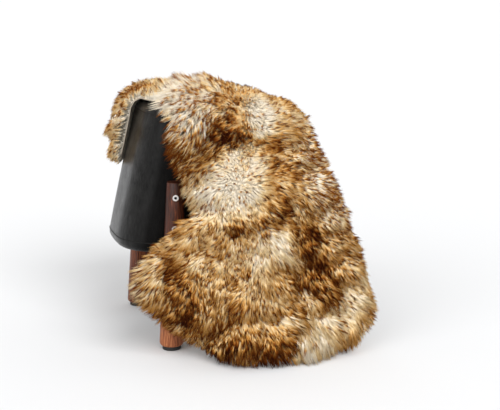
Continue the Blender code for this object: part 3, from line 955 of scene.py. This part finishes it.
# %% [markdown]
# Real wool grows in locks: some tens of fibres cling together towards one tip, and neighbouring
# locks lean on each other. Here each modelled strand is a small tuft of fibres, three-sided, rooted
# in the hide. A strand first rises along the hide's normal and then leans over the way the pile
# lies. Small clumps pull their strands' tips together, and large clumps pull the small ones, which
# gives the broken, speckled surface of a combed sheepskin.
#
# Everything is worked out for all strands at once with numpy, because a loop over so many strands
# would take minutes.

# %% Where the strands grow
STRANDS = 144000
SMALL_CLUMP = 0.0050
LARGE_CLUMP = 0.025
SEED = 11
NOISE_GAIN = 1.6
rng = np.random.default_rng(SEED)
cell_area = step_down[:, :-1] * step_over[:-1]


def scatter(count):
    """Places on the hide, in grid steps, spread evenly over its area."""
    share = np.cumsum(cell_area.ravel())
    wanted = (np.arange(count) + rng.random(count)) / count * share[-1]
    cell = np.minimum(np.searchsorted(share, wanted), share.size - 1)
    row, column = np.divmod(cell, cell_area.shape[1])
    return np.column_stack([row + rng.random(count), column + rng.random(count)])


def read(field, places):
    """A grid's values at fractional places."""
    i = np.minimum(places[:, 0].astype(int), field.shape[0] - 2)
    j = np.minimum(places[:, 1].astype(int), field.shape[1] - 2)
    shape = (-1,) + (1,) * (field.ndim - 2)
    a, b = (places[:, 0] - i).reshape(shape), (places[:, 1] - j).reshape(shape)
    near = field[i, j] * (1 - b) + field[i, j + 1] * b
    far = field[i + 1, j] * (1 - b) + field[i + 1, j + 1] * b
    return near * (1 - a) + far * a


def slow_noise(points, size, shift):
    """Smooth noise at each point, about -1 to 1."""
    return np.array([noise.noise(Vector(p) / size + Vector((shift, 0, 0))) for p in points]) * NOISE_GAIN


def turned(ways, normal, turn):
    """Directions along a surface, turned about its normals."""
    return ways * np.cos(turn)[:, None] + np.cross(normal, ways) * np.sin(turn)[:, None]


area = cell_area.sum()
large = scatter(int(area / LARGE_CLUMP ** 2))
small = scatter(int(area / SMALL_CLUMP ** 2))
strand = scatter(STRANDS)
print(f"hide {area:.3f} m2, {len(large)} large clumps, {len(small)} small ones, {len(strand)} strands")

# %% [markdown]
# A fleece isn't equally long all over. A short table names the places where the wool is longer or
# shorter than its section says, in shares of the hide's length and width, with a radius in metres.
# `spots` says how much each root feels of every row of such a table, fading out softly with the
# distance, and the tables for crowns and for colours below use it too.

# %% Local lengths
#    place              along   across  radius  gain
LENGTHS = (
    ("flap tip",         0.000,  0.40,  0.045, -0.45),
    ("flap side",        0.065,  0.30,  0.045, -0.20),
    ("flap brow",        0.160,  0.10,  0.050, -0.12),
    ("rear rim",         0.185,  0.15,  0.055, -0.30),
    ("tuft by the seam", 0.329,  0.00,  0.016,  1.00),
    ("top left",         0.368,  0.12,  0.070,  0.15),
    ("top right rim",    0.480,  0.92,  0.080, -0.45),
    ("over the leg",     0.617,  0.00,  0.030,  0.40),
    ("right margin",     0.617,  1.00,  0.090, -0.20),
    ("lobe edge",        0.768,  0.00,  0.050,  0.32),
    ("hem cream",        0.986,  0.68,  0.060,  0.30),
)


def spots(root, table, sharp=2):
    """For each row of a table: how much each root feels of it, the way from its middle, its numbers."""
    for _, along, across, radius, *numbers in table:
        away = root - read(grid, np.array([[along * HIDE_STEPS, across * HIDE_COLUMNS]]))[0]
        far = np.linalg.norm(away, axis=1) / radius
        yield 1 / (1 + far ** (2 * sharp)), away / radius, *numbers


def length_gain(root):
    """How much longer or shorter than its section says the wool is at each root."""
    return 1 + sum(felt * more for felt, _, more in spots(root, LENGTHS))


gains = length_gain(grid.reshape(-1, 3)).reshape(thickness.shape)
print("lengths times", gains.min().round(2), "to", gains.max().round(2))

# %% [markdown]
# Between the long locks grows short dense wool. It is one closed sheet that reaches about half as
# high as the locks and follows their lengths, so that it never shows above them. Only along the
# flap's cut side, where one looks into the pile from its edge, does it stand higher.

# %% The short dense wool
UNDERCOAT = 0.56
UNDERCOAT_FLAP = 0.76
FLAP_FADE = 10
CUT_SIDE = (4, 12)
UNDER_GAP = 0.0003
UNDER_LEAST = 0.0012
on_flap = np.interp(np.arange(HIDE_STEPS + 1), [FLAP_ROWS - FLAP_FADE, FLAP_ROWS], [1, 0])
by_cut_side = np.interp(np.arange(HIDE_COLUMNS + 1), CUT_SIDE, [1, 0])
dense = UNDERCOAT + (UNDERCOAT_FLAP - UNDERCOAT) * np.outer(on_flap, by_cut_side)
under_height = np.maximum(thickness * np.minimum(1, gains) * dense, HIDE_THICK + UNDER_LEAST)
undercoat = closed_sheet("undercoat", grid + facing * (HIDE_THICK + UNDER_GAP),
                         grid + facing * under_height[..., None])
print(undercoat.name, len(undercoat.data.polygons), "faces")

# %% [markdown]
# Which way the pile leans is a sum of pulls: down with gravity, away from a parting that runs down
# the hide, straight out near an edge, and a slow swirl that keeps it from looking brushed. On top
# of the rim nothing pulls, so the wool stands up there. In the middle of a crown it stands up too,
# and all round the wool lies away from it.

# %% Crowns
#    place              along   across  radius  pull
CROWNS = (
    ("cream patch",      0.619,  0.285,  0.095,  2.0),
)
CROWN_UPRIGHT = 0.45
CROWN_LIFTS = 0.8
print("crowns", [name for name, *_ in CROWNS])

# %% The lie of the wool
FLAP_END = 0.31
FLAP_UPRIGHT = 0.25
FLAP_TIP_PULL = 0.35
RIGHT_PULL = 0.45
PARTING_TOP = 0.80
PARTING_FOOT = 0.50
PARTING_FROM = 0.45
PARTING_RUN = 0.40
GRAVITY_PULL = 1.0
COMB_PULL = 0.10
PARTING_PULL = 1.1
SWIRL_SIZE = 0.085
SWIRL_SHIFT = 3.0
SWIRL_TURN = 0.75
EDGE_REACH = 0.060
EDGE_PULL = 2.2
EDGE_POWER = 1.5
EDGE_RUN = 0.040
LEAN_HANGING = 0.95
LEAN_TOP = 0.35
FULL_PULL = 0.7
LEAST_PULL = 0.10


def lie_of_wool(places):
    """Root, facing, lean, height and run of the wool at places on the hide."""
    root, normal, down = read(grid, places), unit(read(facing, places)), np.array([0, 0, -1.0])
    hanging = down - normal * (normal @ down)[:, None]
    share_along = places[:, 0] / HIDE_STEPS
    down_parting = np.clip((share_along - PARTING_FROM) / PARTING_RUN, 0, 1)
    parting = PARTING_TOP + (PARTING_FOOT - PARTING_TOP) * down_parting
    sideways = (places[:, 1] / HIDE_COLUMNS - parting)[:, None] * read(across_hide, places)
    edges = np.stack([read(distance, places) for distance in to_edge], axis=1)
    near_edge = np.clip(1 - edges / EDGE_REACH, 0, 1) ** EDGE_POWER
    near_edge[:, 0] *= FLAP_TIP_PULL
    near_edge[:, 2] *= np.where(share_along < FLAP_END, FLAP_UPRIGHT, 1.0)
    near_edge[:, 3] *= np.where(share_along < FLAP_END, 1.0, RIGHT_PULL)
    outward = sum(near_edge[:, k:k + 1] * read(edge_ways[k], places) for k in range(4))
    lean = hanging * GRAVITY_PULL + sideways * PARTING_PULL + outward * EDGE_PULL
    upright = np.zeros(len(root))
    for felt, away, pull in spots(root, CROWNS, sharp=1):
        lean += away * (felt * pull)[:, None] - hanging * (felt * GRAVITY_PULL * CROWN_LIFTS)[:, None]
        upright = np.maximum(upright, felt ** 2)
    lean += read(along_hide, places) * COMB_PULL
    turn = slow_noise(root, SWIRL_SIZE, SWIRL_SHIFT) * SWIRL_TURN * (1 - near_edge.max(axis=1))
    pulled = np.clip(np.linalg.norm(lean, axis=1) / FULL_PULL, LEAST_PULL, 1)
    lean = turned(unit(lean), normal, turn)
    lean = unit(lean - normal * np.sum(lean * normal, axis=1, keepdims=True))
    gain = length_gain(root)
    height = read(thickness, places) * gain
    steep = np.linalg.norm(hanging, axis=1)
    run = height * (LEAN_TOP + (LEAN_HANGING - LEAN_TOP) * steep) * (1 - CROWN_UPRIGHT * upright) * pulled
    run += EDGE_RUN * near_edge.max(axis=1) * gain
    return root, normal, lean, height, run


large_lie, small_lie, strand_lie = lie_of_wool(large), lie_of_wool(small), lie_of_wool(strand)
print("locks", small_lie[3].mean().round(3), "m high and", small_lie[4].mean().round(3), "m over")

# %% Lines of the strands
STATIONS = np.array([0.0, 0.58, 1.0])
RISE_POWER = 1.7
SLIDE_POWER = 1.6


def arcs(root, normal, lean, height, run):
    """The line of each strand: up from the hide, and over."""
    rise = (1 - (1 - STATIONS) ** RISE_POWER)[None, :, None]
    slide = (STATIONS ** SLIDE_POWER)[None, :, None]
    return (root[:, None] + normal[:, None] * height[:, None, None] * rise
            + lean[:, None] * run[:, None, None] * slide)


def nearest(points, centres):
    """The index of the centre nearest to each point."""
    tree = kdtree.KDTree(len(centres))
    for k, centre in enumerate(centres):
        tree.insert(centre, k)
    tree.balance()
    return np.array([tree.find(point)[1] for point in points])


small_in_large = nearest(small_lie[0], large_lie[0])
strand_in_small = nearest(strand_lie[0], small_lie[0])
print("strands to a small clump:", round(len(strand) / len(small), 1))

# %% [markdown]
# The colour changes along a strand: cream at the root, golden tan above. A patch is a place where it
# goes less or further along that row of colours: in a cream patch nearly every strand stays pale,
# and in a brown one the colour starts low. On top of that some locks end in a thin dark brown tip,
# and each patch has its own share of those. The patches are listed in a short table, in shares
# of the hide's length and width, with a radius in metres.

# %% Patches of colour
BASE_TONE = 0.50
BASE_TIPS = 0.26
PATCH_STRENGTH = 0.95
TIP_SHARES = (0.02, 0.95)
#    patch              along   across  radius  tone   tips
PATCHES = (
    ("big cream",        0.598,  0.31,   0.070,  1.70,  0.04),
    ("big cream top",    0.575,  0.41,   0.046,  1.60,  0.10),
    ("big cream right",  0.598,  0.46,   0.042,  1.60,  0.06),
    ("big cream left",   0.554,  0.15,   0.044,  1.30,  0.22),
    ("big cream foot",   0.621,  0.21,   0.042,  1.50,  0.12),
    ("top left cream",   0.370,  0.14,   0.072,  1.60,  0.82),
    ("top cream",        0.412,  0.26,   0.060,  1.75,  0.50),
    ("top golden",       0.444,  0.47,   0.042,  0.25,  0.50),
    ("top right",        0.511,  0.80,   0.045,  0.45,  0.35),
    ("dark spot",        0.503,  0.440,  0.032, -1.10,  0.98),
    ("dark spot left",   0.492,  0.390,  0.024, -0.60,  0.95),
    ("streak top",       0.490,  0.61,   0.024,  1.80,  0.08),
    ("cream streak",     0.520,  0.59,   0.030,  1.90,  0.06),
    # Painted shade: the left margin and the left band get more dark tips than their wool has, which darkens
    # that side as its shade would; part of their dark tips are real.
    ("left margin",      0.432,  0.07,   0.042,  0.45,  0.98),
    ("left band",        0.485,  0.07,   0.036,  0.55,  0.92),
    ("band under spot",  0.516,  0.27,   0.022,  0.10,  0.60),
    ("golden fold",      0.566,  0.61,   0.032, -0.28,  0.20),
    ("golden fold side", 0.628,  0.63,   0.042, -0.15,  0.20),
    ("golden fold foot", 0.661,  0.53,   0.036,  0.15,  0.25),
    ("speckled top",     0.599,  0.91,   0.045,  1.30,  0.85),
    ("speckled side",    0.670,  0.89,   0.050,  1.35,  0.85),
    ("speckled low",     0.723,  0.90,   0.050,  1.00,  0.75),
    ("brown middle",     0.658,  0.22,   0.034,  0.12,  0.60),
    ("brown fold",       0.693,  0.40,   0.028, -0.05,  0.70),
    ("brown fold right", 0.703,  0.58,   0.030, -0.15,  0.55),
    ("right dark top",   0.757,  0.67,   0.042, -0.35,  0.75),
    ("right dark",       0.845,  0.75,   0.060, -0.45,  0.85),
    ("cream tuft",       0.752,  0.47,   0.032,  1.40,  0.05),
    ("low cream",        0.797,  0.23,   0.035,  0.95,  0.25),
    ("lobe edge",        0.785,  0.00,   0.040,  1.40,  0.22),
    ("lobe brown",       0.794,  0.15,   0.046, -0.15,  0.70),
    ("lobe foot",        0.857,  0.16,   0.050, -0.20,  0.55),
    ("hem brown",        0.943,  0.25,   0.060, -0.10,  0.70),
    ("hem dark",         0.979,  0.42,   0.045, -0.30,  0.70),
    ("hem cream",        0.979,  0.67,   0.060,  1.35,  0.04),
    ("right low",        0.887,  0.94,   0.060,  0.85,  0.16),
    ("tuft by the seam", 0.329,  0.00,   0.036,  2.20,  0.02),
    ("flap inside",      0.088,  0.00,   0.070,  1.15,  0.30),
    ("flap tip",         0.006,  0.30,   0.050,  1.10,  0.50),
    ("flap top",         0.176,  0.16,   0.045,  0.45,  0.92),
)


#    cloud           size   shift  depth
CLOUDS = {
    "broad tone":   (0.070,  7.0, 0.26),
    "fine tone":    (0.028,  1.0, 0.20),
    "tips":         (0.040,  5.0, 0.16),
    "ragged x":     (0.030, 21.0, 0.012),
    "ragged y":     (0.030, 34.0, 0.012),
    "ragged z":     (0.030, 55.0, 0.012),
}


def cloud(root, name):
    size, shift, depth = CLOUDS[name]
    return slow_noise(root, size, shift) * depth


def colouring(root):
    """Cream (1) to brown (-1), and the share of dark tips, at each root."""
    tone = BASE_TONE + cloud(root, "broad tone") + cloud(root, "fine tone")
    tips = BASE_TIPS + cloud(root, "tips")
    ragged = root + np.stack([cloud(root, "ragged " + axis) for axis in "xyz"], 1)
    for felt, _, patch_tone, patch_tips in spots(ragged, PATCHES):
        felt = felt * PATCH_STRENGTH
        tone = tone * (1 - felt) + patch_tone * felt
        tips = tips * (1 - felt) + patch_tips * felt
    return tone, np.clip(tips, *TIP_SHARES)


small_tone, dark_share = colouring(small_lie[0])
print("dark tips are due to", dark_share.mean().round(2), "of the small clumps")

# %% [markdown]
# Chance varies everything a little. A large clump only differs in height. A small one also differs
# in how far it leans and which way, and the dark-tipped ones, which stick out, turn further. They
# hold their strands together tightly, and the pale ones loosely.

# %% Chance
#                least  most
LARGE_HEIGHT =  (0.92, 1.04)
SMALL_HEIGHT =  (0.80, 1.06)
SMALL_RUN =     (0.70, 1.20)
STRAND_HEIGHT = (0.72, 1.08)
STRAND_RUN =    (0.75, 1.15)
HOLDS = {"dark": (0.85, 0.98), "pale": (0.50, 0.90)}
TIPS = {"dark": (0.80, 1.0), "pale": (0.0, 0.15)}


def jitter(values, least, most):
    """Each value a little smaller or larger by chance."""
    return values * rng.uniform(least, most, len(values))


def by_tip(ranges):
    """A number for each small clump, from the range of its own kind."""
    dark, pale = (rng.uniform(*ranges[kind], len(small)) for kind in ("dark", "pale"))
    return np.where(dark_tipped, dark, pale)


# %% Grow the clumps
CLUMP_TURN = 0.35
DARK_TURNS = 1.4
CLUMP_PULL = 0.42
CLUMP_POWER = 1.5
root, normal, lean, height, run = large_lie
large_arcs = arcs(root, normal, lean, jitter(height, *LARGE_HEIGHT), run)

dark_tipped = rng.random(len(small)) < dark_share
root, normal, lean, height, run = small_lie
turn = rng.normal(0, CLUMP_TURN, len(small)) * np.where(dark_tipped, DARK_TURNS, 1.0)
height, run = jitter(height, *SMALL_HEIGHT), jitter(run, *SMALL_RUN)
small_arcs = arcs(root, normal, turned(lean, normal, turn), height, run)
pull = (CLUMP_PULL * STATIONS ** CLUMP_POWER)[None, :, None]
small_arcs = small_arcs * (1 - pull) + large_arcs[small_in_large] * pull
print("small clumps' tips reach", np.linalg.norm(small_arcs[:, -1] - root, axis=1).max().round(3), "m")

# %% Grow the strands
HOLD_POWER = 1.1
REACH = 0.92
REACH_SPREAD = 0.12
STRAY = 0.0016
STRAY_AT = np.array([0.6, 1.2])
root, normal, lean, height, run = strand_lie
height, run = jitter(height, *STRAND_HEIGHT), jitter(run, *STRAND_RUN)
strand_arcs = arcs(root, normal, lean, height, run)
pull = by_tip(HOLDS)[strand_in_small][:, None, None] * (STATIONS ** HOLD_POWER)[None, :, None]
scale = (REACH + REACH_SPREAD * rng.random(len(strand)))[:, None, None]
clump_arcs = small_arcs[strand_in_small]
clump_arcs = clump_arcs[:, :1] + (clump_arcs - clump_arcs[:, :1]) * scale
lines = strand_arcs * (1 - pull) + clump_arcs * pull
lines[:, 1:] += rng.normal(0, STRAY, (len(strand), 2, 3)) * STRAY_AT[None, :, None]
lines[..., 2] = np.maximum(lines[..., 2], FLOOR_CLEAR)
print("strands up to", np.linalg.norm(lines[:, -1] - lines[:, 0], axis=1).max().round(3), "m long")

# %% Colour the strands
LARGE_TONE = 0.20
SMALL_TONE = 0.10
STRAND_TONE = 0.07
STRAND_TIP = (0.8, 1.0)
tip = by_tip(TIPS)
of_large = rng.normal(0, LARGE_TONE, len(large))[small_in_large]
tone = small_tone + (of_large + rng.normal(0, SMALL_TONE, len(small)))
strand_tone = tone[strand_in_small] + rng.normal(0, STRAND_TONE, len(strand))
strand_tip = jitter(tip[strand_in_small], *STRAND_TIP)
print("tones from", strand_tone.min().round(2), "to", strand_tone.max().round(2))

# %% [markdown]
# A strand is a three-sided spindle: a point in the hide, one ring of three points and a point at its
# tip. That is six triangles, few enough for well over a hundred thousand strands. The mesh is filled
# straight from arrays. Three attributes go with it for the material: how far up its strand each point
# is, the strand's tone, and how dark its tip is.

# %% Make the strands' meshes
STRAND_R = 0.00115
SPREAD = 0.30
CORNERS = 3


def strand_points(lines):
    """The points of each strand: its root, its ring's corners, then its tip."""
    heading = unit(np.gradient(lines, axis=1))
    side = unit(np.cross(heading, unit(rng.normal(size=(len(lines), 1, 3)))))
    other = np.cross(heading, side)
    turns = 2 * math.pi * np.arange(CORNERS) / CORNERS
    girth = STRAND_R * rng.uniform(1 - SPREAD, 1 + SPREAD, (len(lines), 1))
    around = (side[:, 1:-1, None] * np.cos(turns)[None, None, :, None]
              + other[:, 1:-1, None] * np.sin(turns)[None, None, :, None])
    corners = lines[:, 1:-1, None] + around * girth[..., None, None]
    return np.concatenate([lines[:, :1], corners.reshape(len(lines), -1, 3), lines[:, -1:]], axis=1)


def strand_faces():
    """The triangles of one strand, by the numbers of its points."""
    faces = []
    for k in range(CORNERS):
        a, b = 1 + k, 1 + (k + 1) % CORNERS
        faces += [(0, b, a), (a, b, 1 + CORNERS)]
    return np.array(faces)


def add_attribute(mesh, label, values):
    mesh.attributes.new(label, "FLOAT", "POINT").data.foreach_set("value", values.astype(np.float32))


def mesh_of_strands(name, lines, tones, tips):
    points = strand_points(lines) + CHAIR
    points[..., 2] = np.maximum(points[..., 2], FLOOR_CLEAR)
    faces = strand_faces()
    count, size = points.shape[:2]
    corners = (faces[None] + np.arange(count)[:, None, None] * size).reshape(-1)
    mesh = bpy.data.meshes.new(name)
    mesh.vertices.add(count * size)
    mesh.vertices.foreach_set("co", points.astype(np.float32).ravel())
    mesh.loops.add(len(corners))
    mesh.loops.foreach_set("vertex_index", corners.astype(np.int32))
    mesh.polygons.add(len(corners) // 3)
    mesh.polygons.foreach_set("loop_start", np.arange(0, len(corners), 3, dtype=np.int32))
    mesh.polygons.foreach_set("use_smooth", np.ones(len(corners) // 3, bool))
    mesh.update(calc_edges=True)
    up = np.concatenate([[0.0], np.repeat(STATIONS[1:-1], CORNERS), [1.0]])
    add_attribute(mesh, "up_strand", np.tile(up, count))
    add_attribute(mesh, "tone", np.repeat(tones, size))
    add_attribute(mesh, "tip", np.repeat(tips, size))
    return new_object(name, mesh)


PILES = ("pile_flap", "pile_hollow", "pile_brow", "pile_side", "pile_foot")
order = np.argsort(strand[:, 0])
piles = []
for name, part in zip(PILES, np.array_split(order, len(PILES))):
    piles.append(mesh_of_strands(name, lines[part], strand_tone[part], strand_tip[part]))
    print(name, len(piles[-1].data.polygons), "triangles")
add_attribute(undercoat.data, "tone", np.tile(colouring(grid.reshape(-1, 3))[0], 2))

# %% [markdown]
# Wool has no varnish on it: it is rough and hardly shines. The colour row is one ramp, and the
# tone decides how far up that ramp a strand gets. A dark tip is the last third of its strand.

# %% Wool materials
CREAM = (0.95, 0.88, 0.76)
IVORY = (0.90, 0.69, 0.37)
GOLD = (0.69, 0.350, 0.080)
BROWN = (0.27, 0.068, 0.006)
DARK = (0.040, 0.006, 0.001)
TIP_START = 0.66
TIP_RATE = 6.0
COLOUR_ROW = [(0.0, CREAM), (0.30, IVORY), (0.58, GOLD), (0.82, BROWN), (1.0, DARK)]
PALE_ROOT = 1.8
TONE_BEND = 0.8
TONE_FADE = 0.62
UNDER_GRAIN = 0.50
UNDER_FADE = 0.35
SUEDE = ((0.52, 0.44, 0.33), (0.66, 0.58, 0.46))


def wool():
    made, wire, shader = new_material("wool", Roughness=0.8, Specular_IOR_Level=0.05)
    up = wire.attribute("up_strand")
    tone = wire.attribute("tone")
    body = (up ** (tone * TONE_BEND + PALE_ROOT) * (1.0 - tone * TONE_FADE)).clamp()
    dipped = ((up - TIP_START) * TIP_RATE).clamp() * wire.attribute("tip")
    stage = body + dipped * (1.0 - body)
    feed(wire, shader, Base_Color=stage.ramp(COLOUR_ROW))
    return made


def undercoat_wool():
    made, wire, shader = new_material("undercoat", Roughness=0.9, Specular_IOR_Level=0.1)
    grain = wire.noise((260, 260, 60), detail=3.0)
    stage = grain * UNDER_GRAIN - wire.attribute("tone") * UNDER_FADE
    feed(wire, shader, Base_Color=stage.ramp(COLOUR_ROW),
         Normal=wire.bump(grain, strength=0.6, distance=0.003))
    return made


def suede():
    made, wire, shader = new_material("suede", Roughness=0.85)
    tint = wire.noise((9, 9, 9), detail=5.0)
    nap = wire.noise((900, 900, 900), detail=2.0)
    feed(wire, shader, Base_Color=tint.shades(*SUEDE), Normal=wire.bump(nap, strength=0.3, distance=0.0005))
    return made


dress(piles, wool())
dress([undercoat], undercoat_wool())
dress([hide], suede())
print("wool in", len(piles), "piles, with undercoat and hide")

# %% [markdown]
# Where a piece stands for solids of the frame, those solids are hidden: the sheepskin's slab for the
# hide, the strips of wool along its edge for each pile, and the chair's own solids for the chair's
# pieces.

# %% What each piece stands for
STRIPS_OF = {
    "pile_flap": ["wool_flap_tip", "wool_flap_near", "wool_flap_far", "wool_rear_rim"],
    "pile_hollow": ["wool_inner_edge"],
    "pile_brow": ["wool_near_left"],
    "pile_side": ["wool_lobe_top", "wool_right_side"],
    "pile_foot": ["wool_lobe_foot", "wool_hem_left", "wool_hem_right", "wool_right_foot"],
}
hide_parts("sheepskin")
for pile in piles:
    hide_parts(*STRIPS_OF[pile.name])
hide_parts("shell")
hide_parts("seat_pad")
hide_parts("seat_base")
for leg in legs:
    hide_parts(leg.name.replace("peg", "leg"))
for made in (rings, bolts, feet):
    for node, piece in made.items():
        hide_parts(node)
